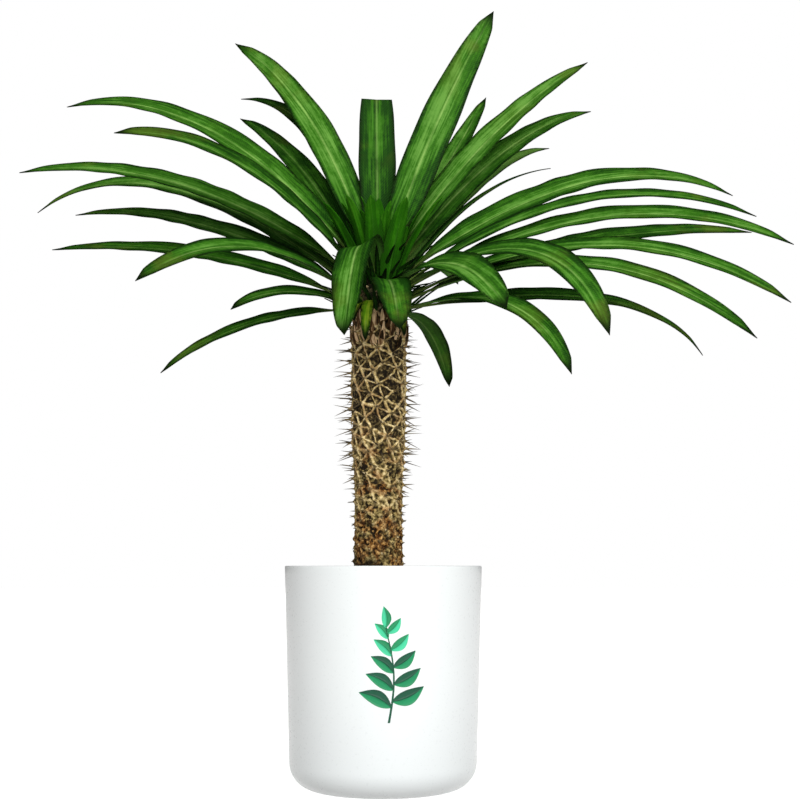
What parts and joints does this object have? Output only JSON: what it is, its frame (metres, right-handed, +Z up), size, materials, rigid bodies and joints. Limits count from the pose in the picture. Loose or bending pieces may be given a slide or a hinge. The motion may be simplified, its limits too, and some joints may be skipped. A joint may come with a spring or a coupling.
{
  "type": "potted madagascar palm",
  "caption": "Madagascar palm: a thick spiny stem with an arching crown of long narrow leaves, standing in soil in a plain round planter.",
  "frame": {"origin": "centre of the pot's underside, on the surface that it stands on", "axes": "+Z up along the stem, -Y towards the plant's front, +X to the right seen from the front"},
  "size_m": [0.7651, 0.5015, 0.792],
  "materials": {
    "pot": "smooth white satin glaze",
    "soil": "loose dark potting mix of bark and peat",
    "stem": "rough grey-brown tubercles with tan spines",
    "leaf": "leathery green leaf with a satin sheen",
    "young_leaf": "soft yellow-green young leaf"
  },
  "bodies": {
    "root": {"pot": "pot", "soil": "soil", "stem": "stem", "leaf_01": "leaf", "leaf_02": "leaf", "leaf_03": "leaf", "leaf_04": "leaf", "leaf_05": "leaf", "leaf_06": "leaf", "leaf_07": "leaf", "leaf_08": "leaf", "leaf_09": "leaf", "leaf_10": "leaf", "leaf_11": "leaf", "leaf_12": "leaf", "leaf_13": "leaf", "leaf_14": "leaf", "leaf_15": "leaf", "leaf_16": "leaf", "leaf_17": "leaf", "leaf_18": "leaf", "leaf_19": "leaf", "leaf_20": "leaf", "leaf_21": "leaf", "leaf_22": "leaf", "leaf_23": "leaf", "leaf_24": "leaf", "leaf_25": "leaf", "leaf_26": "leaf", "leaf_27": "leaf", "leaf_28": "leaf", "leaf_29": "leaf", "leaf_30": "leaf", "leaf_31": "leaf", "leaf_32": "leaf", "leaf_33": "leaf", "leaf_34": "leaf", "leaf_35": "leaf", "leaf_36": "leaf", "leaf_37": "leaf", "young_leaf_1": "young_leaf", "young_leaf_2": "young_leaf", "young_leaf_3": "young_leaf"}
  },
  "joints": []
}
